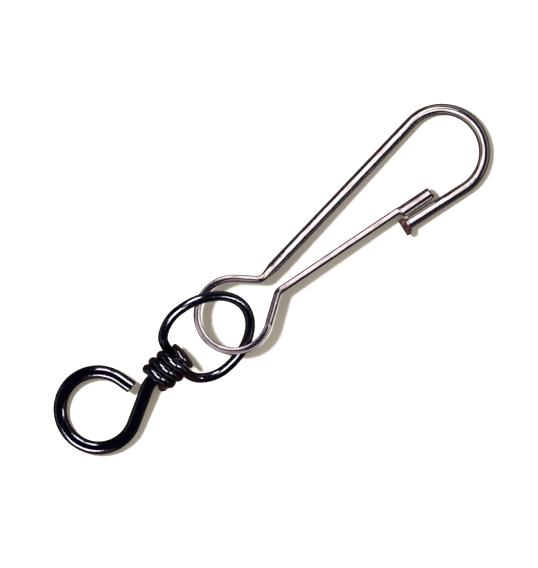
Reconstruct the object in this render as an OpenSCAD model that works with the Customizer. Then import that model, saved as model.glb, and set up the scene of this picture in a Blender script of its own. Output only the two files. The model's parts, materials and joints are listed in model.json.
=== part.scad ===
// Wire snap hook with a swivel eye, lying flat on a table.
//
// Three pieces of plated steel wire make the whole fitting:
//   - a spring-wire hook, whose flattened spring eye lets its own gate flex,
//   - a ring linked through the spring eye, with both ends wound round a shank,
//   - a headed shank that spins inside those windings and ends in an open eye.
// Each wire is divided into nodes where it changes section or starts to move.
//
// The link point is the middle of the spring eye. +X runs from it along the fitting
// to the hook's bow, +Y is the spine's side and +Z is up.

/* [Hook wire] */
// Diameter of the hook's round wire
hook_wire_d = 2.0; // [1.8:0.1:2.2]
// Thickness of the rolled strip that forms the spring eye and the gate, in the hook's plane
strip_thick = 1.3; // [1.1:0.1:1.5]
// Width of the same strip, across the hook's plane
strip_width = 2.2; // [2.0:0.1:2.4]
// Radius of the bends at the hook's neck
neck_bend_r = 2.0; // [1.8:0.1:2.4]

/* [Spring eye and spine] */
// Radius of the spring eye, to the middle of the strip
spring_eye_r = 6.5; // [6.3:0.1:6.8]
// How far the strip follows the eye past its side towards the spine
spine_wrap = 42; // [40:1:44]
// Straight strip between the eye and the spine's neck bend
spine_neck_len = 3.7; // [3.4:0.1:4.0]
// Angle at which the spine spreads from the fitting's middle line
spine_angle = 7.4; // [7:0.1:8]
// Length of the straight spine
spine_len = 38.0; // [36:0.5:40]

/* [Bow and bill] */
// Radius of the bow, to the middle of the wire
bow_r = 7.65; // [7.5:0.05:7.8]
// Angle at which the bill runs back towards the gate
bill_angle = 6.7; // [6:0.1:7]
// Length of the straight bill
bill_len = 12.2; // [11.9:0.1:12.4]
// Length of the flattened lip on the bill's end
lip_len = 1.1; // [0.9:0.1:1.3]
// Width of the lip in the hook's plane
lip_width = 3.6; // [3.2:0.1:3.8]
// Thickness of the lip
lip_thick = 1.4; // [1.2:0.1:1.6]

/* [Gate] */
// How far the strip follows the eye past its side towards the gate
gate_wrap = 35; // [33:1:37]
// Straight strip between the eye and the gate's neck bend
gate_neck_len = 5.4; // [5.2:0.1:5.6]
// Angle at which the gate spreads from the fitting's middle line
gate_angle = 5.1; // [4.6:0.1:5.4]
// Length of the flat gate arm
gate_arm_len = 25.4; // [25.2:0.1:25.6]
// Diameter of the round end of the gate
gate_tip_d = 2.1; // [1.9:0.1:2.2]
// Length of the round end
gate_tip_len = 6.4; // [6:0.1:6.8]
// Distance that the round end stands out from the arm towards the bill
gate_tip_step = 0.5; // [0.4:0.05:0.6]

/* [Swivel ring] */
// Diameter of the ring's wire
ring_wire_d = 1.8; // [1.6:0.1:1.9]
// Half of the ring's width
ring_half_width = 7.2; // [7:0.1:7.4]
// Distance from the link point back to the ring's widest place
ring_mid = 7.4; // [7:0.1:7.8]
// Distance from the widest place to the ring's far end
ring_far_len = 9.8; // [9.4:0.1:10]
// Depth of the curve on the shank's side of the widest place
ring_near_len = 6.9; // [6.6:0.1:7.2]
// Angle by which the ring lies over on one side, to pass through the spring eye
ring_tilt = 22.5; // [22:0.5:24]
// Distance from the link point to the first winding's crest
winding_start = 13.65; // [13.6:0.05:13.8]
// Advance of each winding in one turn
winding_pitch = 3.7; // [3.7:0.05:3.9]
// Radius of the windings, to the middle of the wire
winding_r = 2.42; // [2.4:0.01:2.5]
// Angle that each winding covers after its first crest
winding_turn = 425; // [400:5:440]

/* [Shank and open eye] */
// Diameter of the shank and the open eye's wire
eye_wire_d = 2.4; // [2.2:0.1:2.5]
// Diameter of the shank's upset head
head_d = 5.2; // [4.8:0.1:5.4]
// Thickness of the head
head_len = 1.1; // [0.9:0.1:1.2]
// Distance from the link point to the head's flat back
head_back = 12.05; // [11.9:0.05:12.1]
// Distance from the link point to the end of the straight shank
shank_end = 18.4; // [18.3:0.1:19]
// Angle by which the wire turns aside before the open eye
offset_angle = 30; // [28:1:32]
// Radius of that bend
offset_bend_r = 4.0; // [3.6:0.1:4.4]
// Straight wire between the bend and the open eye
offset_len = 6.75; // [6.4:0.05:7]
// Radius of the open eye, to the middle of the wire
open_eye_r = 6.84; // [6.6:0.02:7]
// Angle that the open eye goes round before its straight tail
open_eye_turn = 284; // [280:1:286]
// Length of the straight tail
tail_len = 2.7; // [2.4:0.1:2.9]

/* [Hidden] */
$fn = 64;

// A bent wire is a list of steps. Each step is [straight length, bend radius, turn]:
// the wire runs straight, then turns left (positive) or right (negative) on the radius.
// A pose on the wire is [x, y, heading].
function left_of(pose, distance) =
    [pose.x - distance * sin(pose.z), pose.y + distance * cos(pose.z), pose.z];
function run_on(pose, length) =
    [pose.x + length * cos(pose.z), pose.y + length * sin(pose.z), pose.z];
function turned(pose, radius, turn) =
    let (centre = left_of(pose, sign(turn) * radius))
    left_of([centre.x, centre.y, pose.z + turn], -sign(turn) * radius);
function after(pose, step) = turned(run_on(pose, step[0]), step[1], step[2]);

// Hook side of the spring wire, from the top of the spring eye to the bill's end
spine_start = [0, spring_eye_r, 0];
spine_wrap_end = after(spine_start, [0, spring_eye_r, -spine_wrap]);
spine_bend_start = run_on(spine_wrap_end, spine_neck_len);
spine_foot = after(spine_bend_start, [0, neck_bend_r, spine_wrap + spine_angle]);
bow_start = run_on(spine_foot, spine_len);
bow_turn = 180 + spine_angle + bill_angle;
bow_end = after(bow_start, [0, bow_r, -bow_turn]);
bow_centre = left_of(bow_start, -bow_r);
bill_end = run_on(bow_end, bill_len);

// Gate side of the spring wire, from the bottom of the spring eye to the gate's tip
gate_start = [0, -spring_eye_r, 0];
gate_wrap_end = after(gate_start, [0, spring_eye_r, gate_wrap]);
gate_bend_start = run_on(gate_wrap_end, gate_neck_len);
gate_foot = after(gate_bend_start, [0, neck_bend_r, -(gate_wrap + gate_angle)]);
gate_arm_end = run_on(gate_foot, gate_arm_len);
gate_tip_start = left_of(gate_arm_end, -gate_tip_step);

// Shank and open eye, from the head's back
shank_start = [-head_back, 0, 180];
offset_start = [-shank_end, 0, 180];
offset_bend_end = after(offset_start, [0, offset_bend_r, offset_angle]);
open_eye_start = run_on(offset_bend_end, offset_len);
open_eye_centre = left_of(open_eye_start, -open_eye_r);
tail_start = after(open_eye_start, [0, open_eye_r, -open_eye_turn]);

// How the fitting rests. The swivel lies on the ring's low side and on its windings,
// the shank droops in the loose windings until the open eye touches, and the hook
// slopes from the link down to its bow.
ring_drop = ring_half_width * sin(ring_tilt) + ring_wire_d / 2;
winding_drop = winding_r + ring_wire_d / 2;
winding_reach = winding_start + winding_pitch;
swivel_pitch = asin((ring_drop - winding_drop) / (winding_reach - ring_mid));
swivel_height = ring_drop + ring_mid * sin(swivel_pitch);
// The shank tips about the middle of the windings
grip = winding_start + winding_pitch / 2;
grip_height = swivel_height - grip * sin(swivel_pitch);
eye_reach = open_eye_r - open_eye_centre.x;
shank_pitch = asin((grip_height - eye_wire_d / 2) / (eye_reach - grip));
// The spring eye sits this much below the swivel's axis, clear of the ring on both sides
link_drop = 0.2;
link_height = swivel_height - link_drop;
hook_pitch = asin((link_height - hook_wire_d / 2) / (bow_centre.x + bow_r));

// Middle of the fitting's outline, which is the part's origin
reach_forward = (bow_centre.x + bow_r) * cos(hook_pitch) + hook_wire_d / 2;
reach_back = grip * cos(swivel_pitch) + (eye_reach - grip) * cos(shank_pitch) + eye_wire_d / 2;
reach_left = open_eye_centre.y + open_eye_r + eye_wire_d / 2;
reach_right = bow_r + hook_wire_d / 2 - bow_centre.y;
middle = [(reach_forward - reach_back) / 2, (reach_left - reach_right) / 2];

module on_hook() {
    translate([-middle.x, -middle.y, link_height])
        rotate([0, hook_pitch, 0])
            children();
}

module on_ring() {
    translate([-middle.x, -middle.y, swivel_height])
        rotate([0, -swivel_pitch, 0])
            children();
}

module on_shank() {
    on_ring()
        translate([-grip, 0, 0])
            rotate([0, swivel_pitch - shank_pitch, 0])
                translate([grip, 0, 0])
                    children();
}

// Sections of the wire: across in the plane of the bends, and up
module round_section(d) circle(d = d);

module strip_section() {
    intersection() {
        circle(d = strip_width);
        square([strip_thick, 2 * strip_width], center = true);
    }
}

// A straight length of the section given as a child
module straight(pose, length) {
    translate([pose.x, pose.y, 0])
        rotate([90, 0, 90 + pose.z])
            linear_extrude(length)
                children();
}

// A bend of the section given as a child
module bend(pose, radius, turn) {
    centre = left_of(pose, sign(turn) * radius);
    first = turn > 0 ? pose.z - 90 : pose.z + 90 + turn;
    translate([centre.x, centre.y, 0])
        rotate(first)
            rotate_extrude(angle = abs(turn))
                translate([radius, 0])
                    children();
}

// The ring's wire. One half of it follows the oval from the far end, leaves it on a smooth
// lead and winds round the shank; the other half is the same, turned over about the shank.
lead_start = 128;
lead_end = -32;
lead_steps = 5;
oval_step = 8;
winding_step = 15;
wire_sides = 12;

function oval_point(t) =
    let (reach = t < 90 ? ring_far_len : ring_near_len)
    let (v = ring_half_width * sin(t))
    [reach * cos(t) - ring_mid, v * cos(ring_tilt), v * sin(ring_tilt)];
function oval_heading(t) = unit(oval_point(t + 0.5) - oval_point(t - 0.5));

// s is the angle past the winding's first crest
function winding_point(s) = [
    -winding_start - winding_pitch * s / 360,
    -winding_r * sin(s),
    -winding_r * cos(s)
];
function winding_heading(s) = unit(winding_point(s + 0.5) - winding_point(s - 0.5));

function unit(v) = v / norm(v);
function between(a, b, c, d, t) =
    a * pow(1 - t, 3) + 3 * b * t * pow(1 - t, 2) + 3 * c * t * t * (1 - t) + d * pow(t, 3);
function lead_point(t) =
    let (a = oval_point(lead_start), d = winding_point(lead_end))
    let (pull = norm(d - a) / 3)
    between(a, a + pull * oval_heading(lead_start), d - pull * winding_heading(lead_end), d, t);

oval_half = [for (t = [0 : oval_step : lead_start]) oval_point(t)];
lead_half = [for (i = [1 : lead_steps - 1]) lead_point(i / lead_steps)];
winding_half = [for (s = [lead_end : winding_step : winding_turn]) winding_point(s)];
ring_half = concat(oval_half, lead_half, winding_half);
ring_path = concat(
    [for (i = [len(ring_half) - 1 : -1 : 1]) let (p = ring_half[i]) [p.x, -p.y, -p.z]],
    ring_half
);
half_count = len(ring_half);
// Places along the ring's path where the windings begin
ring_first = half_count - len(oval_half);
ring_last = half_count + len(oval_half) - 2;

// Directions across the wire at each point, carried along it without twist
function heading_at(path, i) =
    unit(path[min(i + 1, len(path) - 1)] - path[max(i - 1, 0)]);
function carried(side, heading) = unit(side - (side * heading) * heading);
ring_sides = [
    for (
        i = 0, side = carried([1, 0, 0], heading_at(ring_path, 0));
        i < len(ring_path);
        i = i + 1, side = carried(side, heading_at(ring_path, min(i, len(ring_path) - 1)))
    ) side
];

// A round wire along part of the ring's path
module wound_wire(first, last) {
    count = last - first + 1;
    points = [
        for (i = [first : last])
            let (heading = heading_at(ring_path, i))
            let (up = cross(heading, ring_sides[i]))
            for (k = [0 : wire_sides - 1])
                let (a = 360 * k / wire_sides)
                ring_path[i] + ring_wire_d / 2 * (cos(a) * ring_sides[i] + sin(a) * up)
    ];
    walls = [
        for (i = [0 : count - 2])
            for (k = [0 : wire_sides - 1])
                let (a = i * wire_sides + k)
                let (b = i * wire_sides + (k + 1) % wire_sides)
                each [[a, a + wire_sides, b], [b, a + wire_sides, b + wire_sides]]
    ];
    start_cap = [for (k = [0 : wire_sides - 1]) k];
    end_cap = [for (k = [wire_sides - 1 : -1 : 0]) (count - 1) * wire_sides + k];
    polyhedron(points, concat([start_cap], walls, [end_cap]), convexity = 8);
}

// Spring wire, hook side

module bill_lip() {
    color("peru")
        on_hook()
            translate([bill_end.x, bill_end.y, 0])
                rotate(bill_end.z)
                    intersection() {
                        translate([0, -lip_width / 2, -lip_thick / 2])
                            cube([lip_len, lip_width, lip_thick]);
                        translate([0, 0, -lip_thick])
                            cylinder(r = lip_width * 0.55, h = 2 * lip_thick);
                    }
}

module hook_bill() {
    color("gainsboro")
        on_hook()
            straight(bow_end, bill_len)
                round_section(hook_wire_d);
}

module hook_bow() {
    color("silver")
        on_hook()
            bend(bow_start, bow_r, -bow_turn)
                round_section(hook_wire_d);
}

module hook_spine() {
    color("lightgray")
        on_hook()
            straight(spine_foot, spine_len)
                round_section(hook_wire_d);
}

module spine_bend() {
    color("rosybrown")
        on_hook()
            bend(spine_bend_start, neck_bend_r, spine_wrap + spine_angle)
                strip_section();
}

module spine_neck() {
    color("pink")
        on_hook()
            straight(spine_wrap_end, spine_neck_len)
                strip_section();
}

// The whole eye, from the spine's side round the back to the gate's side
module spring_eye() {
    eye_start = [spine_wrap_end.x, spine_wrap_end.y, 180 - spine_wrap];
    color("slategray")
        on_hook()
            bend(eye_start, spring_eye_r, spine_wrap + 180 + gate_wrap)
                strip_section();
}

// Spring wire, gate side

module gate_neck() {
    color("lightsteelblue")
        on_hook()
            straight(gate_wrap_end, gate_neck_len)
                strip_section();
}

module gate_bend() {
    color("powderblue")
        on_hook()
            bend(gate_bend_start, neck_bend_r, -(gate_wrap + gate_angle))
                strip_section();
}

module gate_arm() {
    color("thistle")
        on_hook()
            straight(gate_foot, gate_arm_len)
                strip_section();
}

module gate_tip() {
    color("sienna")
        on_hook()
            straight(gate_tip_start, gate_tip_len)
                round_section(gate_tip_d);
}

// Swivel ring and its windings

module swivel_ring() {
    color("dimgray")
        on_ring()
            wound_wire(ring_first, ring_last);
}

module over_winding() {
    color("gray")
        on_ring()
            wound_wire(0, ring_first);
}

module under_winding() {
    color("darkgray")
        on_ring()
            wound_wire(ring_last, len(ring_path) - 1);
}

// Headed shank and open eye

module shank_head() {
    bevel = head_len / 5;
    color("gray")
        on_shank()
            translate([-head_back, 0, 0])
                rotate([0, 90, 0]) {
                    cylinder(d = head_d, h = head_len - bevel);
                    translate([0, 0, head_len - bevel])
                        cylinder(d1 = head_d, d2 = head_d - 2 * bevel, h = bevel);
                }
}

module swivel_shank() {
    color("darkslategray")
        on_shank() {
            straight(shank_start, shank_end - head_back)
                round_section(eye_wire_d);
            bend(offset_start, offset_bend_r, offset_angle)
                round_section(eye_wire_d);
        }
}

module eye_stem() {
    color("slategray")
        on_shank()
            straight(offset_bend_end, offset_len)
                round_section(eye_wire_d);
}

module open_eye() {
    color("midnightblue")
        on_shank()
            bend(open_eye_start, open_eye_r, -open_eye_turn)
                round_section(eye_wire_d);
}

module eye_tail() {
    color("steelblue")
        on_shank()
            straight(tail_start, tail_len)
                round_section(eye_wire_d);
}

bill_lip();
hook_bill();
hook_bow();
hook_spine();
spine_bend();
spine_neck();
spring_eye();
gate_neck();
gate_bend();
gate_arm();
gate_tip();
swivel_ring();
over_winding();
under_winding();
shank_head();
swivel_shank();
eye_stem();
open_eye();
eye_tail();
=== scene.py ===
"""Wire snap hook with a swivel eye: the wires, their plated finish, and the studio."""

import json
import math

import bpy
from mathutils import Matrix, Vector, noise


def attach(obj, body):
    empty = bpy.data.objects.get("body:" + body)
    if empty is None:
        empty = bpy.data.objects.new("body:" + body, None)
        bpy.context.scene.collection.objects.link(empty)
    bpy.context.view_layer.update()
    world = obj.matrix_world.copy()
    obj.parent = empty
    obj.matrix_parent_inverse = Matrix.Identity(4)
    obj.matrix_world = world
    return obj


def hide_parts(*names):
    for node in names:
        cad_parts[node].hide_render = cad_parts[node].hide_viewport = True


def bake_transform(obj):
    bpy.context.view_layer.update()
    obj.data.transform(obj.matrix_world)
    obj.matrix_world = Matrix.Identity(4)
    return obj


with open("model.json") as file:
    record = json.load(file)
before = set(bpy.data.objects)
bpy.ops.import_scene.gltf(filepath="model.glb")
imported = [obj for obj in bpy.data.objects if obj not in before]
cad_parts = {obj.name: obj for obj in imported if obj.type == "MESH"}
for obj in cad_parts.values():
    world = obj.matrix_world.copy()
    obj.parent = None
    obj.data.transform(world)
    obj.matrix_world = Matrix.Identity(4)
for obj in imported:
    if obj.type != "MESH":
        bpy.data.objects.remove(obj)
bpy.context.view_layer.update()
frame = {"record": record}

MM = 0.001

# Wire sizes, the same as in the CAD source. Lengths are in metres and angles in degrees.

# The hook, from the spring eye along the spine, round the bow and back to the lip
HOOK_WIRE = 2.0 * MM
STRIP_THICK = 1.3 * MM
STRIP_WIDTH = 2.2 * MM
SPRING_EYE_R = 6.5 * MM
NECK_BEND_R = 2.0 * MM
SPINE_WRAP = 42
SPINE_NECK = 3.7 * MM
SPINE_ANGLE = 7.4
SPINE_LEN = 38.0 * MM
BOW_R = 7.65 * MM
BILL_ANGLE = 6.7
BILL_LEN = 12.2 * MM
LIP_LEN = 1.1 * MM
LIP_WIDTH = 3.6 * MM
LIP_THICK = 1.4 * MM

# The gate, from the spring eye to its tip
GATE_WRAP = 35
GATE_NECK = 5.4 * MM
GATE_ANGLE = 5.1
GATE_ARM = 25.4 * MM
GATE_TIP_D = 2.1 * MM
GATE_TIP_LEN = 6.4 * MM
GATE_TIP_STEP = 0.5 * MM

# The ring: a tilted oval, two leads and two windings
RING_WIRE = 1.8 * MM
RING_HALF_WIDTH = 7.2 * MM
RING_MID = 7.4 * MM
RING_FAR = 9.8 * MM
RING_NEAR = 6.9 * MM
RING_TILT = 22.5
LEAD_START = 128
LEAD_END = -32
WINDING_START = 13.65 * MM
WINDING_PITCH = 3.7 * MM
WINDING_R = 2.42 * MM
WINDING_TURN = 425
LINK_DROP = 0.2 * MM

# The headed shank and the open eye
EYE_WIRE = 2.4 * MM
HEAD_D = 5.2 * MM
HEAD_LEN = 1.1 * MM
HEAD_BACK = 12.05 * MM
SHANK_END = 18.4 * MM
OFFSET_ANGLE = 30
OFFSET_BEND_R = 4.0 * MM
OFFSET_LEN = 6.75 * MM
OPEN_EYE_R = 6.84 * MM
OPEN_EYE_TURN = 284
TAIL_LEN = 2.7 * MM

# Meshes
SIDES = 40                    # points round a wire
SPACING = 0.22 * MM           # between cross-sections
EDGE_ANGLES = (30, 60, 90)    # steps that round an end's edge off
FACE_SHARES = (0.66, 0.33)    # smaller rings on an end's face
CAP_BANDS = len(EDGE_ANGLES) + len(FACE_SHARES) - 1  # bands of faces in an end's cap
CUT_EDGE = 0.12 * MM          # the rounding of a cut end
MEETING_EDGE = 0.01 * MM      # the rounding where a piece meets the next one


# ---------------------------------------------------------------- places in the frame

class Plane:
    """A flat working plane: x along the fitting, y to the spine's side, z out of it."""

    def __init__(self, origin, x_axis, x_shift=0.0):
        self.x = Vector(x_axis).normalized()
        self.y = Vector((0, 1, 0))
        self.z = self.x.cross(self.y)
        self.origin = Vector(origin) - x_shift * self.x

    def point(self, x, y, z=0.0):
        return self.origin + x * self.x + y * self.y + z * self.z

    def direction(self, x, y, z=0.0):
        return x * self.x + y * self.y + z * self.z


joints = {j["name"]: j for j in frame["record"]["behaviour"]["joints"]}
link_point = Vector(joints["gate_flex"]["pos_m"])
hook_normal = Vector(joints["gate_flex"]["axis"])
grip_point = Vector(joints["swivel_spin"]["pos_m"])
shank_axis = Vector(joints["swivel_spin"]["axis"])
ring_point = link_point + Vector((0, 0, LINK_DROP))

hook_plane = Plane(link_point, Vector((0, 1, 0)).cross(hook_normal))
ring_plane = Plane(ring_point, ring_point - grip_point)
shank_plane = Plane(grip_point, shank_axis, x_shift=-(ring_point - grip_point).length)


# ---------------------------------------------------------------- bent wire paths

def left_of(pose, distance):
    """The pose at a distance to the left. A pose is x, y and a heading in degrees."""
    x, y, heading = pose
    a = math.radians(heading)
    return (x - distance * math.sin(a), y + distance * math.cos(a), heading)


def run_on(pose, length):
    x, y, heading = pose
    a = math.radians(heading)
    return (x + length * math.cos(a), y + length * math.sin(a), heading)


def turn_by(pose, radius, turn):
    """The pose after a bend of some degrees; a bend to the left is positive."""
    side = math.copysign(radius, turn)
    x, y, heading = left_of(pose, side)
    return left_of((x, y, heading + turn), -side)


def trace(pose, steps):
    """Poses along a bent wire. A step is ("run", length) or ("turn", radius, angle)."""
    poses = [pose]
    for step in steps:
        start = poses[-1]
        if step[0] == "run":
            count = max(2, round(step[1] / SPACING))
            poses += [run_on(start, step[1] * i / count) for i in range(1, count + 1)]
        else:
            radius, turn = step[1:]
            count = max(6, round(radius * math.radians(abs(turn)) / SPACING))
            poses += [turn_by(start, radius, turn * i / count) for i in range(1, count + 1)]
    return poses


class Station:
    """One cross-section of a wire: where it is, its directions and how far along it is."""

    def __init__(self, point, heading, side, up, along):
        self.point, self.heading, self.side, self.up = point, heading, side, up
        self.along = along


def planar_stations(plane, poses):
    """Stations at poses that lie in a plane."""
    stations, along = [], 0.0
    for i, (x, y, heading) in enumerate(poses):
        a = math.radians(heading)
        point = plane.point(x, y)
        if i:
            along += (point - stations[-1].point).length
        ahead = plane.direction(math.cos(a), math.sin(a))
        left = plane.direction(-math.sin(a), math.cos(a))
        stations.append(Station(point, ahead, left, plane.z, along))
    return stations


def carried_stations(points, side):
    """Stations along any curve, their sides carried along it without twist."""
    stations, along = [], 0.0
    last = len(points) - 1
    for i, point in enumerate(points):
        heading = (points[min(i + 1, last)] - points[max(i - 1, 0)]).normalized()
        side = (side - side.dot(heading) * heading).normalized()
        if i:
            along += (point - points[i - 1]).length
        stations.append(Station(point, heading, side, heading.cross(side), along))
    return stations


# ---------------------------------------------------------------- wire meshes

def smooth(t):
    """From 0 to 1 with a soft start and end."""
    t = min(max(t, 0.0), 1.0)
    return t * t * (3 - 2 * t)


def mix(a, b, t):
    return tuple(p + (q - p) * t for p, q in zip(a, b))


def angles():
    return [2 * math.pi * k / SIDES for k in range(SIDES)]


def squared_corners(half_side, half_up, power):
    """Corners of a rounded outline; the higher the power, the squarer it is."""
    corners = []
    for a in angles():
        c, s = math.cos(a), math.sin(a)
        x = math.copysign(abs(c) ** (2 / power), c) * half_side
        y = math.copysign(abs(s) ** (2 / power), s) * half_up
        corners.append((x, y))
    return corners


def round_corners(diameter):
    return squared_corners(diameter / 2, diameter / 2, 2)


def strip_corners(thick, width):
    """A wire of the given width rolled flat on two sides, its four edges eased."""
    ease = 12
    corners = []
    for a in angles():
        flat = thick / 2 / max(abs(math.cos(a)), 0.01)
        reach = ((width / 2) ** -ease + flat ** -ease) ** (-1 / ease)
        corners.append((reach * math.cos(a), reach * math.sin(a)))
    return corners


def between_corners(first, second, t):
    return [mix(a, b, t) for a, b in zip(first, second)]


STRIP = strip_corners(STRIP_THICK, STRIP_WIDTH)
ROUND = round_corners(HOOK_WIRE)


def unevenness(station, angle, depth, seed):
    """Small slow waves in a wire's surface, left by drawing and bending."""
    wave = 2.6 * MM
    spot = Vector((station.along / wave, math.cos(angle), math.sin(angle)))
    return depth * noise.noise(spot + Vector((seed, 2.3 * seed, -seed)))


def uneven_corners(station, corners, depth, seed):
    uneven = []
    for a, (x, y) in zip(angles(), corners):
        grow = 1 + unevenness(station, a, depth, seed) / math.hypot(x, y)
        uneven.append((x * grow, y * grow))
    return uneven


def flat_cut(x, y):
    return 0.0


def placed(station, corners, push=flat_cut):
    """A section's points in the frame, each pushed along the wire by its own amount."""
    points = []
    for x, y in corners:
        across = x * station.side + y * station.up
        points.append(station.point + across + push(x, y) * station.heading)
    return points


def cap_rings(station, corners, outward, edge, cut):
    """Rings that round a wire's edge off and close it, then the middle of the end face."""
    reach = max(math.hypot(x, y) for x, y in corners)
    steps = []
    for angle in EDGE_ANGLES:
        a = math.radians(angle)
        steps.append((1 - edge * (1 - math.cos(a)) / reach, edge * math.sin(a)))
    steps += [(share, edge) for share in FACE_SHARES]
    rings = []
    for share, rise in steps:
        face = [(x * share, y * share) for x, y in corners]
        rings.append(placed(station, face, lambda x, y: outward * (rise + cut(x, y))))
    middle = station.point + outward * (edge + cut(0, 0)) * station.heading
    return rings, middle


def wire_rings(stations, outlines, edges, cuts):
    """A wire's rings of points, how far along each ring is, and the middles of both ends."""
    first, last = stations[0], stations[-1]
    start_rings, start_middle = cap_rings(first, outlines[0], -1, edges[0], cuts[0])
    end_rings, end_middle = cap_rings(last, outlines[-1], 1, edges[1], cuts[1])
    rings = start_rings[::-1]
    rings += [placed(station, outline) for station, outline in zip(stations, outlines)]
    rings += end_rings
    marks = [first.along] * len(start_rings)
    marks += [station.along for station in stations]
    marks += [last.along] * len(end_rings)
    return rings, marks, (start_middle, end_middle)


def wire_faces(marks, bare_ends, bare_length):
    """Faces between the rings and over the ends, and the material slot of each face."""
    bands = len(marks) - 1
    faces, slots = [], []
    for i in range(bands):
        at_start = i < CAP_BANDS
        at_end = i >= bands - CAP_BANDS or marks[i] > marks[-1] - bare_length
        bare = (bare_ends[0] and at_start) or (bare_ends[1] and at_end)
        for k in range(SIDES):
            a, b = i * SIDES + k, i * SIDES + (k + 1) % SIDES
            faces.append((a, b, b + SIDES, a + SIDES))
            slots.append(int(bare))
    last_ring = bands * SIDES
    start_middle, end_middle = last_ring + SIDES, last_ring + SIDES + 1
    for k in range(SIDES):
        faces.append((start_middle, (k + 1) % SIDES, k))
        slots.append(int(bare_ends[0]))
    for k in range(SIDES):
        faces.append((end_middle, last_ring + k, last_ring + (k + 1) % SIDES))
        slots.append(int(bare_ends[1]))
    return faces, slots


def mark_places(mesh, marks):
    """Tells the materials where each point is: how far along in mm, and which way round."""
    places = []
    for mark in marks:
        for a in angles():
            places += [mark / MM, math.cos(a), math.sin(a)]
    for mark in (marks[0], marks[-1]):
        places += [mark / MM, 0, 0]
    attribute = mesh.attributes.new("wire_place", "FLOAT_VECTOR", "POINT")
    attribute.data.foreach_set("vector", places)


def wire(name, stations, section_at, materials, depth, seed, edges,
         cuts=(flat_cut, flat_cut), bare_ends=(False, False), bare_length=0.0):
    """A closed mesh along the stations. An end that is bare shows the second material."""
    outlines = [uneven_corners(station, section_at(station.along), depth, seed)
                for station in stations]
    rings, marks, middles = wire_rings(stations, outlines, edges, cuts)
    points = [point for ring in rings for point in ring] + list(middles)
    faces, slots = wire_faces(marks, bare_ends, bare_length)
    mesh = bpy.data.meshes.new(name)
    mesh.from_pydata([tuple(point) for point in points], [], faces)
    mark_places(mesh, marks)
    for material in materials:
        mesh.materials.append(material)
    mesh.polygons.foreach_set("material_index", slots)
    mesh.polygons.foreach_set("use_smooth", [True] * len(faces))
    mesh.update()
    piece = bpy.data.objects.new(name, mesh)
    bpy.context.scene.collection.objects.link(piece)
    return piece


# ---------------------------------------------------------------- materials

def new_material(name):
    material = bpy.data.materials.new(name)
    material.use_nodes = True
    nodes = material.node_tree.nodes
    return material, nodes, material.node_tree.links, nodes["Principled BSDF"]


def stretched_noise(nodes, links, scale, detail, roughness=0.6):
    """Noise in the wire's own coordinates: along it, then round it."""
    place = nodes.new("ShaderNodeAttribute")
    place.attribute_name = "wire_place"
    mapping = nodes.new("ShaderNodeMapping")
    mapping.inputs["Scale"].default_value = scale
    texture = nodes.new("ShaderNodeTexNoise")
    texture.inputs["Scale"].default_value = 1.0
    texture.inputs["Detail"].default_value = detail
    texture.inputs["Roughness"].default_value = roughness
    links.new(place.outputs["Vector"], mapping.inputs["Vector"])
    links.new(mapping.outputs["Vector"], texture.inputs["Vector"])
    return texture.outputs["Fac"]


def ramp(nodes, links, source, stops):
    """Colours at places from 0 to 1, read by a source."""
    node = nodes.new("ShaderNodeValToRGB")
    elements = node.color_ramp.elements
    while len(elements) < len(stops):
        elements.new(0.5)
    for element, (position, colour) in zip(elements, stops):
        element.position = position
        element.color = (*colour, 1)
    links.new(source, node.inputs["Fac"])
    return node.outputs["Color"]


def grey(value):
    return (value, value, value)


def bump(nodes, links, height, strength, distance, normal=None):
    node = nodes.new("ShaderNodeBump")
    node.inputs["Strength"].default_value = strength
    node.inputs["Distance"].default_value = distance
    links.new(height, node.inputs["Height"])
    if normal is not None:
        links.new(normal, node.inputs["Normal"])
    return node.outputs["Normal"]


def plated(name, bright, tarnish, low_rough, high_rough):
    """Bright plate over drawn wire: draw lines, soft dents, patches of brown tarnish."""
    material, nodes, links, shader = new_material(name)
    shader.inputs["Metallic"].default_value = 1.0
    patches = stretched_noise(nodes, links, (0.35, 1.4, 1.4), 5)
    colour = ramp(nodes, links, patches, [(0.30, tarnish), (0.52, bright), (1.0, bright)])
    links.new(colour, shader.inputs["Base Color"])
    smears = stretched_noise(nodes, links, (0.9, 3.5, 3.5), 6)
    rough = ramp(nodes, links, smears, [(0.3, grey(low_rough)), (0.75, grey(high_rough))])
    links.new(rough, shader.inputs["Roughness"])
    draw_lines = stretched_noise(nodes, links, (0.12, 26.0, 26.0), 3)
    dents = stretched_noise(nodes, links, (1.3, 2.2, 2.2), 4, 0.5)
    pits = stretched_noise(nodes, links, (9.0, 12.0, 12.0), 2)
    normal = bump(nodes, links, draw_lines, 0.10, 0.02 * MM)
    normal = bump(nodes, links, dents, 0.35, 0.05 * MM, normal)
    normal = bump(nodes, links, pits, 0.05, 0.02 * MM, normal)
    links.new(normal, shader.inputs["Normal"])
    return material


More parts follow.
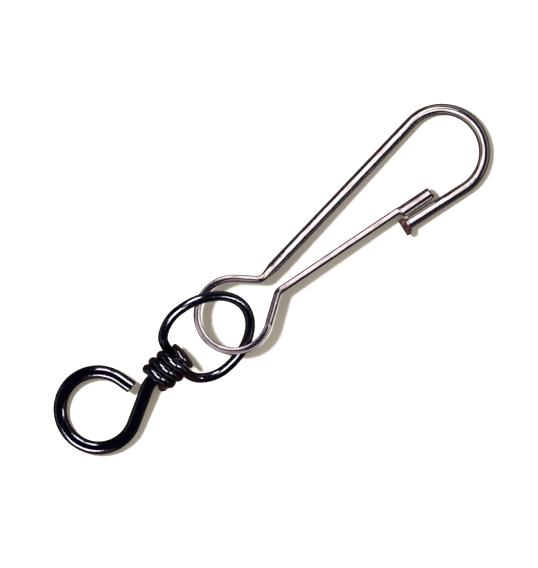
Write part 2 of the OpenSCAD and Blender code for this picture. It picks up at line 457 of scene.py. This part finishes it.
def sheared(name):
    """A wire's cut end, drawn near-black, brown and pale in random patches, with shear marks
    across it.
    """
    material, nodes, links, shader = new_material(name)
    shader.inputs["Metallic"].default_value = 0.85
    coordinates = nodes.new("ShaderNodeTexCoord")
    mapping = nodes.new("ShaderNodeMapping")
    mapping.inputs["Scale"].default_value = (900, 2600, 5200)
    grain = nodes.new("ShaderNodeTexNoise")
    grain.inputs["Scale"].default_value = 1.0
    grain.inputs["Detail"].default_value = 5
    links.new(coordinates.outputs["Object"], mapping.inputs["Vector"])
    links.new(mapping.outputs["Vector"], grain.inputs["Vector"])
    near_black, brown, pale = (0.02, 0.008, 0.008), (0.15, 0.060, 0.055), (0.50, 0.33, 0.29)
    colour = ramp(nodes, links, grain.outputs["Fac"],
                  [(0.34, near_black), (0.56, brown), (0.80, pale)])
    links.new(colour, shader.inputs["Base Color"])
    rough = ramp(nodes, links, grain.outputs["Fac"], [(0.3, grey(0.6)), (0.8, grey(0.34))])
    links.new(rough, shader.inputs["Roughness"])
    links.new(bump(nodes, links, grain.outputs["Fac"], 0.5, 0.05 * MM), shader.inputs["Normal"])
    return material


bright_plate = plated("bright_plate", bright=(0.86, 0.82, 0.80), tarnish=(0.60, 0.44, 0.40),
                      low_rough=0.06, high_rough=0.16)
strip_plate = plated("strip_plate", bright=(0.80, 0.72, 0.74), tarnish=(0.42, 0.28, 0.29),
                     low_rough=0.08, high_rough=0.18)
# The swivel's plate is the same chrome as the hook's, with its colour painted dark: painted shade
# that stands in for the dark room it mirrors.
shade_painted_plate = plated("shade_painted_plate", bright=(0.105, 0.10, 0.135), tarnish=(0.10, 0.072, 0.078),
                    low_rough=0.06, high_rough=0.15)
cut_steel = sheared("cut_steel")


# ---------------------------------------------------------------- the spring-wire hook

spine_wrap_end = turn_by((0, SPRING_EYE_R, 0), SPRING_EYE_R, -SPINE_WRAP)
gate_wrap_end = turn_by((0, -SPRING_EYE_R, 0), SPRING_EYE_R, GATE_WRAP)
spine_steps = [
    ("run", SPINE_NECK),
    ("turn", NECK_BEND_R, SPINE_WRAP + SPINE_ANGLE),
    ("run", SPINE_LEN),
    ("turn", BOW_R, -(180 + SPINE_ANGLE + BILL_ANGLE)),
    ("run", BILL_LEN),
]
gate_steps = [
    ("run", GATE_NECK),
    ("turn", NECK_BEND_R, -(GATE_WRAP + GATE_ANGLE)),
    ("run", GATE_ARM + GATE_TIP_LEN),
]


def hook_wire():
    """From the spring eye along the spine, round the bow and back along the bill."""
    stations = planar_stations(hook_plane, trace(spine_wrap_end, spine_steps))
    neck_end = SPINE_NECK + NECK_BEND_R * math.radians(SPINE_WRAP + SPINE_ANGLE)
    rounding_start = neck_end - 0.5 * MM
    rounding_length = 3.0 * MM

    def section_at(along):
        return between_corners(STRIP, ROUND, smooth((along - rounding_start) / rounding_length))

    piece = wire("hook_wire", stations, section_at, [bright_plate], depth=0.014 * MM, seed=1.7,
                 edges=(MEETING_EDGE, CUT_EDGE))
    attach(piece, "hook")
    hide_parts("hook_bill", "hook_bow", "hook_spine", "spine_bend", "spine_neck")
    return piece, stations[-1]


def lip_stations(end, overlap):
    """Stations from a little way back inside the bill's end to the lip's own end."""
    count = 16
    length = overlap + LIP_LEN - CUT_EDGE
    stations = []
    for i in range(count + 1):
        along = length * i / count
        point = end.point + (along - overlap) * end.heading
        stations.append(Station(point, end.heading, end.side, end.up, along))
    return stations


def bill_lip(end):
    """The bill's end, squeezed flat into a lip that keeps the gate's tip from pulling out."""
    overlap = 0.35 * MM
    squareness = 4.5
    gate_side_share = 0.80
    flat = [(x * (gate_side_share if x < 0 else 1), y)
            for x, y in squared_corners(LIP_WIDTH / 2, LIP_THICK / 2, squareness)]
    swollen = round_corners(1.02 * HOOK_WIRE)
    squeeze_length = 2.1 * overlap

    def section_at(along):
        return between_corners(swollen, flat, smooth(along / squeeze_length))

    def worn_end(x, y):
        return -0.05 * abs(y)

    piece = wire("squeezed_lip", lip_stations(end, overlap), section_at, [cut_steel],
                 depth=0.03 * MM, seed=4.1, edges=(2 * MEETING_EDGE, CUT_EDGE),
                 cuts=(flat_cut, worn_end))
    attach(piece, "hook")
    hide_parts("bill_lip")
    return piece


def spring_eye():
    """The flattened eye between the hook and the gate, drawn fixed in its rest shape; the real eye
    bends as the gate opens.
    """
    start = (spine_wrap_end[0], spine_wrap_end[1], 180 - SPINE_WRAP)
    poses = trace(start, [("turn", SPRING_EYE_R, SPINE_WRAP + 180 + GATE_WRAP)])
    piece = wire("eye_strip", planar_stations(hook_plane, poses), lambda along: STRIP,
                 [strip_plate], depth=0.010 * MM, seed=2.9, edges=(MEETING_EDGE, MEETING_EDGE))
    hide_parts("spring_eye")
    tuple(hook_plane.point(0, spine_wrap_end[1]))
    tuple(hook_plane.point(0, gate_wrap_end[1]))
    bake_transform(piece)
    return piece


def gate_wire():
    """The gate: a flat arm with a round tip that stands out towards the bill."""
    stations = planar_stations(hook_plane, trace(gate_wrap_end, gate_steps))
    swell_length = 0.8 * MM
    swell_start = stations[-1].along - GATE_TIP_LEN - swell_length / 2
    for station in stations:
        step = GATE_TIP_STEP * smooth((station.along - swell_start) / swell_length)
        station.point = station.point - step * station.side
    tip = round_corners(GATE_TIP_D)
    slant = 0.45

    def section_at(along):
        return between_corners(STRIP, tip, smooth((along - swell_start) / swell_length))

    def slanted_end(x, y):
        return -slant * (x + GATE_TIP_D / 2)

    piece = wire("gate_wire", stations, section_at, [strip_plate, cut_steel],
                 depth=0.014 * MM, seed=3.3, edges=(MEETING_EDGE, 0.45 * MM),
                 cuts=(flat_cut, slanted_end), bare_ends=(False, True), bare_length=0.25 * MM)
    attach(piece, "gate")
    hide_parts("gate_neck", "gate_bend", "gate_arm", "gate_tip")
    return piece


# ---------------------------------------------------------------- the ring and its windings

def oval_point(t):
    """The oval's centre line in the ring's plane, t degrees round from its far end."""
    a, tilt = math.radians(t), math.radians(RING_TILT)
    reach = RING_FAR if t < 90 else RING_NEAR
    v = RING_HALF_WIDTH * math.sin(a)
    return Vector((reach * math.cos(a) - RING_MID, v * math.cos(tilt), v * math.sin(tilt)))


def winding_point(t):
    """The centre line of an end, t degrees round the shank from straight below it."""
    a = math.radians(t)
    along = -WINDING_START - WINDING_PITCH * t / 360
    return Vector((along, -WINDING_R * math.sin(a), -WINDING_R * math.cos(a)))


def heading_of(curve, t):
    return (curve(t + 0.5) - curve(t - 0.5)).normalized()


def lead_point(t):
    """A curve that leads, as t goes from 0 to 1, from the oval on to the windings."""
    a, d = oval_point(LEAD_START), winding_point(LEAD_END)
    pull = (d - a).length / 3
    b = a + pull * heading_of(oval_point, LEAD_START)
    c = d - pull * heading_of(winding_point, LEAD_END)
    u = 1 - t
    return a * u ** 3 + b * 3 * t * u ** 2 + c * 3 * t ** 2 * u + d * t ** 3


def half_ring():
    """One half of the ring's centre line, from the oval's far end to the wire's end."""
    oval_step, lead_steps, winding_step = 2, 20, 4
    turned = WINDING_TURN - LEAD_END
    winding_steps = int(turned / winding_step)
    half = [oval_point(oval_step * i) for i in range(LEAD_START // oval_step + 1)]
    half += [lead_point(i / lead_steps) for i in range(1, lead_steps)]
    half += [winding_point(LEAD_END + turned * i / winding_steps)
             for i in range(winding_steps + 1)]
    return half


def ring_wire():
    """The oval ring. Each end leads on to the shank and winds round it."""
    half = half_ring()
    other = [Vector((p.x, -p.y, -p.z)) for p in reversed(half[1:])]
    points = [ring_plane.point(*p) for p in other + half]
    section = round_corners(RING_WIRE)
    edge = 0.1 * MM

    def pinched_end(x, y):
        return -0.7 * abs(x)

    piece = wire("ring_wire", carried_stations(points, Vector((1, 0, 0))), lambda along: section,
                 [shade_painted_plate, cut_steel], depth=0.022 * MM, seed=5.3, edges=(edge, edge),
                 cuts=(pinched_end, pinched_end), bare_ends=(True, True))
    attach(piece, "ring")
    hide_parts("swivel_ring", "over_winding", "under_winding")
    return piece


# ---------------------------------------------------------------- the headed shank and eye

def eye_wire():
    """The shank, the offset stem, the open eye and its tail."""
    edge = 0.1 * MM
    steps = [
        ("run", SHANK_END - HEAD_BACK),
        ("turn", OFFSET_BEND_R, OFFSET_ANGLE),
        ("run", OFFSET_LEN),
        ("turn", OPEN_EYE_R, -OPEN_EYE_TURN),
        ("run", TAIL_LEN - edge),
    ]
    stations = planar_stations(shank_plane, trace((-HEAD_BACK, 0, 180), steps))
    section = round_corners(EYE_WIRE)

    def sheared_end(x, y):
        return 0.08 * x

    piece = wire("eye_wire", stations, lambda along: section, [shade_painted_plate, cut_steel],
                 depth=0.016 * MM, seed=6.1, edges=(2 * MEETING_EDGE, edge),
                 cuts=(flat_cut, sheared_end), bare_ends=(False, True))
    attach(piece, "eye")
    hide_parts("swivel_shank", "eye_stem", "open_eye", "eye_tail")
    return piece


# The head's width as a share of HEAD_D, at shares of its length
HEAD_PROFILE = [(0.0, 0.52), (0.02, 0.86), (0.06, 0.96), (0.16, 1.0), (0.5, 1.01), (0.74, 1.0),
                (0.86, 0.96), (0.93, 0.88), (0.965, 0.72)]


def head_width(share):
    """The head's width at a share of its length, straight between the profile's points."""
    for (a, low), (b, high) in zip(HEAD_PROFILE, HEAD_PROFILE[1:]):
        if share <= b:
            return HEAD_D * (low + (high - low) * (share - a) / (b - a))
    return HEAD_D * HEAD_PROFILE[-1][1]


def shank_head():
    """The upset head: a disc with rounded edges and a slightly domed face."""
    rise = 0.22 * MM
    stations = []
    for share, _ in HEAD_PROFILE:
        point = shank_plane.point(-HEAD_BACK + share * (HEAD_LEN - rise), 0)
        stations.append(Station(point, shank_plane.x, shank_plane.y, shank_plane.z,
                                share * HEAD_LEN))
    reach = HEAD_D / 2 * HEAD_PROFILE[-1][1]

    def dome(x, y):
        return 0.8 * rise * (1 - (x * x + y * y) / reach ** 2)

    piece = wire("upset_head", stations, lambda along: round_corners(head_width(along / HEAD_LEN)),
                 [shade_painted_plate], depth=0.03 * MM, seed=7.7, edges=(MEETING_EDGE, MEETING_EDGE),
                 cuts=(flat_cut, dome))
    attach(piece, "eye")
    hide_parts("shank_head")
    return piece


hook_piece, bill_end = hook_wire()
lip_piece = bill_lip(bill_end)
strip_piece = spring_eye()
gate_piece = gate_wire()
ring_piece = ring_wire()
eye_piece = eye_wire()
head_piece = shank_head()


# ---------------------------------------------------------------- floor, light and camera

PHOTO_TURN = 39                # the fitting runs up to the right in the picture, in degrees
PICTURE_HEIGHT = 101.39 * MM   # what the picture spans at the wires' height
AIM = Vector((-0.82 * MM, -0.03 * MM, 0))  # the place in the picture's middle
CAMERA_HEIGHT = 0.55           # above the wires
WIRE_HEIGHT = 3.0 * MM         # roughly the middle of the wires above the table

PAPER = (0.90, 0.89, 0.87)
PAPER_IN_METAL = (0.038, 0.026, 0.027)
DARK_ROOM = (0.008, 0.010, 0.030)
PALE_ROOM = (0.26, 0.25, 0.25)
ROOM_LIGHT = (0.53, 0.48, 0.40)
BACKDROP = (0.93, 0.93, 0.93)
LAMP = (1.0, 0.985, 0.95)
PANEL = (1.0, 0.96, 0.96)


def picture_point(right, up, height):
    """A place given as the picture shows it, from its middle, in metres."""
    turn = math.radians(PHOTO_TURN)
    c, s = math.cos(turn), math.sin(turn)
    return AIM + Vector((right * c + up * s, up * c - right * s, height))


def floor_paper():
    """Pale paper that the wires mirror as a dark one, as they do in the photograph."""
    material, nodes, links, shader = new_material("floor_paper")
    shader.inputs["Base Color"].default_value = (*PAPER, 1)
    shader.inputs["Roughness"].default_value = 0.9
    shader.inputs["Specular IOR Level"].default_value = 0.1
    dark = nodes.new("ShaderNodeBsdfDiffuse")
    dark.inputs["Color"].default_value = (*PAPER_IN_METAL, 1)
    path = nodes.new("ShaderNodeLightPath")
    swap = nodes.new("ShaderNodeMixShader")
    links.new(path.outputs["Is Glossy Ray"], swap.inputs["Fac"])
    links.new(shader.outputs["BSDF"], swap.inputs[1])
    links.new(dark.outputs["BSDF"], swap.inputs[2])
    links.new(swap.outputs["Shader"], nodes["Material Output"].inputs["Surface"])
    return material


def floor():
    reach = 1.5
    corners = [(-reach, -reach, 0), (reach, -reach, 0), (reach, reach, 0), (-reach, reach, 0)]
    mesh = bpy.data.meshes.new("floor")
    mesh.from_pydata(corners, [], [(0, 1, 2, 3)])
    mesh.materials.append(floor_paper())
    piece = bpy.data.objects.new("floor", mesh)
    bpy.context.scene.collection.objects.link(piece)


def area_light(name, place, size, power, colour):
    """A rectangular light that the camera doesn't see, facing straight down until turned."""
    data = bpy.data.lights.new(name, "AREA")
    data.shape = "RECTANGLE"
    data.size, data.size_y = size
    data.energy = power
    data.color = colour
    light = bpy.data.objects.new(name, data)
    bpy.context.scene.collection.objects.link(light)
    light.location = place
    light.visible_camera = False
    return light


def key_light(casting):
    """The lamp that draws the shadows of some pieces. No piece mirrors it."""
    place = picture_point(-0.144, 0.048, 0.300)
    light = area_light("key", place, size=(0.050, 0.050), power=1.7, colour=LAMP)
    light.rotation_mode = "QUATERNION"
    light.rotation_quaternion = (picture_point(0, 0, 0) - place).to_track_quat("-Z", "Y")
    light.visible_glossy = False
    light.light_linking.blocker_collection = casting


def mirrored_panel(name, pieces, middle, size, height, radiance, turn=0):
    """A soft panel over the table that shows only in the reflections of some pieces."""
    power = radiance * math.pi * size[0] * size[1]
    panel = area_light(name, Vector((*middle, height)), size, power, PANEL)
    panel.rotation_euler = (0, 0, math.radians(turn))
    panel.visible_diffuse = False
    panel.light_linking.receiver_collection = pieces


def group(name, *pieces):
    collection = bpy.data.collections.new(name)
    for piece in pieces:
        collection.objects.link(piece)
    return collection


def hook_panels():
    """White bands down the middle of the hook and the gate, and two in the spring eye."""
    hook = group("hook_pieces", hook_piece, lip_piece, gate_piece, strip_piece)
    mirrored_panel("over_hook", hook, middle=(0.0275, 0.022), size=(0.045, 0.100),
                   height=0.060, radiance=1.3)
    mirrored_panel("beyond_bow", hook, middle=(0.067, 0.043), size=(0.034, 0.054),
                   height=0.060, radiance=1.3)
    mirrored_panel("over_swivel", hook, middle=(-0.055, 0.0), size=(0.080, 0.080),
                   height=0.065, radiance=0.45)
    spring = group("spring_pieces", strip_piece)
    spring_x, away = -0.009, 0.075
    for side in (-1, 1):
        mirrored_panel("beside_spring", spring, middle=(spring_x, side * away),
                       size=(0.150, 0.060), height=0.040, radiance=1.1)
        mirrored_panel("ends_of_spring", spring, middle=(spring_x + side * away, 0),
                       size=(0.060, 0.090), height=0.040, radiance=1.1)


def swivel_panels():
    """Thin highlights on the swivel, whose plate is painted dark as shade: the open eye's, then
    those of the ring and head.
    """
    eye = group("eye_pieces", eye_piece)
    mirrored_panel("right_of_eye", eye, middle=(0.062, -0.090), size=(0.080, 0.026),
                   height=0.094, radiance=16, turn=-37)
    mirrored_panel("above_eye", eye, middle=(-0.0042, 0.0453), size=(0.040, 0.020),
                   height=0.040, radiance=16, turn=51)
    mirrored_panel("along_eye", eye, middle=(0.0075, 0.020), size=(0.034, 0.020),
                   height=0.040, radiance=16, turn=23)
    mirrored_panel("left_of_eye", eye, middle=(-0.125, -0.030), size=(0.070, 0.060),
                   height=0.050, radiance=16, turn=23)
    ring = group("ring_pieces", ring_piece, head_piece)
    mirrored_panel("over_windings", ring, middle=(-0.026, 0.003), size=(0.018, 0.036),
                   height=0.060, radiance=16)
    mirrored_panel("right_of_ring", ring, middle=(0.031, -0.055), size=(0.060, 0.026),
                   height=0.080, radiance=14, turn=-39)
    mirrored_panel("above_ring", ring, middle=(0.014, 0.071), size=(0.026, 0.080),
                   height=0.080, radiance=14, turn=-17)


def mixed(nodes, links, factor, first, second):
    """Two colours, or the outputs of two nodes, mixed by a factor."""
    node = nodes.new("ShaderNodeMix")
    node.data_type = "RGBA"
    links.new(factor, node.inputs[0])
    for socket, value in ((node.inputs[6], first), (node.inputs[7], second)):
        if isinstance(value, tuple):
            socket.default_value = (*value, 1)
        else:
            links.new(value, socket)
    return node.outputs[2]


def between(nodes, links, source, low, high, soft):
    """A factor of 1 where the source, itself from -1 to 1, lies between two values."""
    spread = nodes.new("ShaderNodeMapRange")
    spread.inputs["From Min"].default_value = -1
    links.new(source, spread.inputs["Value"])
    places = [(place + 1) / 2 for place in (low - soft, low, high, high + soft)]
    shades = [grey(0), grey(1), grey(1), grey(0)]
    return ramp(nodes, links, spread.outputs["Result"], list(zip(places, shades)))


def mirrored_room(nodes, links):
    """What the plating mirrors: a dark room, pale low down past both ends of the fitting."""
    place = nodes.new("ShaderNodeTexCoord")
    split = nodes.new("ShaderNodeSeparateXYZ")
    links.new(place.outputs["Generated"], split.inputs["Vector"])
    off_side = between(nodes, links, split.outputs["X"], -0.38, 0.38, 0.10)
    low_down = between(nodes, links, split.outputs["Z"], 0.0, 0.40, 0.05)
    low_room = mixed(nodes, links, off_side, PALE_ROOM, DARK_ROOM)
    return mixed(nodes, links, low_down, DARK_ROOM, low_room)


def room():
    """An even light from all round, with its own look in metal and a pale backdrop."""
    world = bpy.data.worlds.new("studio")
    bpy.context.scene.world = world
    world.use_nodes = True
    nodes, links = world.node_tree.nodes, world.node_tree.links
    path = nodes.new("ShaderNodeLightPath")
    lit = mixed(nodes, links, path.outputs["Is Glossy Ray"], ROOM_LIGHT,
                mirrored_room(nodes, links))
    seen = mixed(nodes, links, path.outputs["Is Camera Ray"], lit, BACKDROP)
    links.new(seen, nodes["Background"].inputs["Color"])


def camera():
    """Straight above, with the picture's foot towards the photographer."""
    data = bpy.data.cameras.new("camera")
    data.sensor_width = 36
    # the sensor's width goes to the picture's longer side, which is its height
    data.lens = data.sensor_width * CAMERA_HEIGHT / PICTURE_HEIGHT
    data.clip_start, data.clip_end = 0.01, 10
    cam = bpy.data.objects.new("camera", data)
    bpy.context.scene.collection.objects.link(cam)
    cam.location = picture_point(0, 0, CAMERA_HEIGHT + WIRE_HEIGHT)
    cam.rotation_euler = (0, 0, -math.radians(PHOTO_TURN))
    bpy.context.scene.camera = cam


floor()
key_light(group("shading_pieces", hook_piece, lip_piece, gate_piece, strip_piece,
                eye_piece, head_piece))
hook_panels()
swivel_panels()
room()
camera()
bpy.context.scene.view_settings.view_transform = "Standard"
